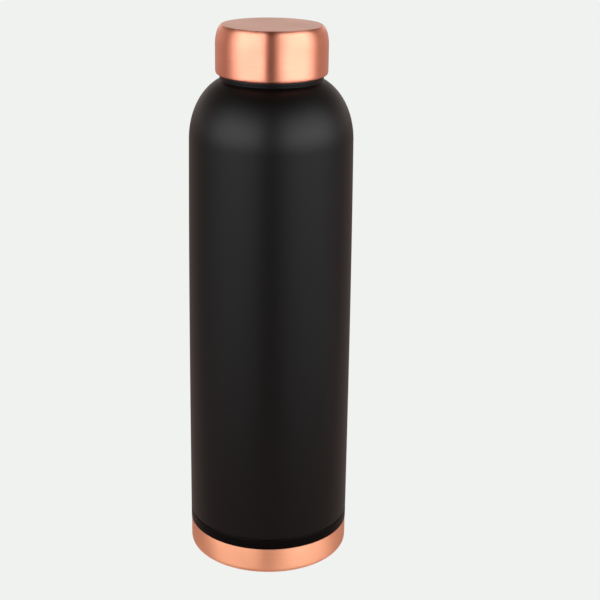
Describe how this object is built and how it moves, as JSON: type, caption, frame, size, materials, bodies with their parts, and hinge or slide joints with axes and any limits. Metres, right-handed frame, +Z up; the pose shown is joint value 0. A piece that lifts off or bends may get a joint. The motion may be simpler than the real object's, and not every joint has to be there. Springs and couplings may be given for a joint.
{
  "type": "copper water bottle",
  "caption": "Slim round copper water bottle with a domed, black-coated body, a bare copper foot band and a copper screw cap on a threaded neck.",
  "frame": {"origin": "on the floor under the middle of the foot ring", "axes": "+Z up along the bottle's axis, from the foot to the cap; X and Y are equal on a round bottle, and the viewer stands at -Y"},
  "size_m": [0.0782, 0.0782, 0.2602],
  "materials": {
    "black_powder_coat": "matt black powder coat on copper, bare copper inside",
    "brushed_copper": "copper, brushed round the axis and clear-lacquered",
    "turned_copper": "copper, turned bright",
    "moulded_insert": "moulded polypropylene, satin black",
    "silicone_washer": "translucent white silicone"
  },
  "bodies": {
    "bottle": {"body_shell": "black_powder_coat", "base_cup": "brushed_copper", "neck_collar": "turned_copper"},
    "cap_seal": {"cap_gasket": "silicone_washer"},
    "cap": {"cap_shell": "brushed_copper", "cap_insert": "moulded_insert"}
  },
  "joints": [
    {"name": "cap_lift", "type": "slide", "parent": "bottle", "child": "cap_seal", "axis": [0, 0, 1], "range_m": [0, 0.0161]},
    {"name": "cap_turn", "type": "hinge", "parent": "cap_seal", "child": "cap", "pos_m": [0, 0, 0.2385], "axis": [0, 0, 1], "range_deg": [0, 1440]}
  ],
  "couplings": [
    {"joint": "cap_lift", "follows": "cap_turn", "m_per_rad": 0.00063662}
  ]
}
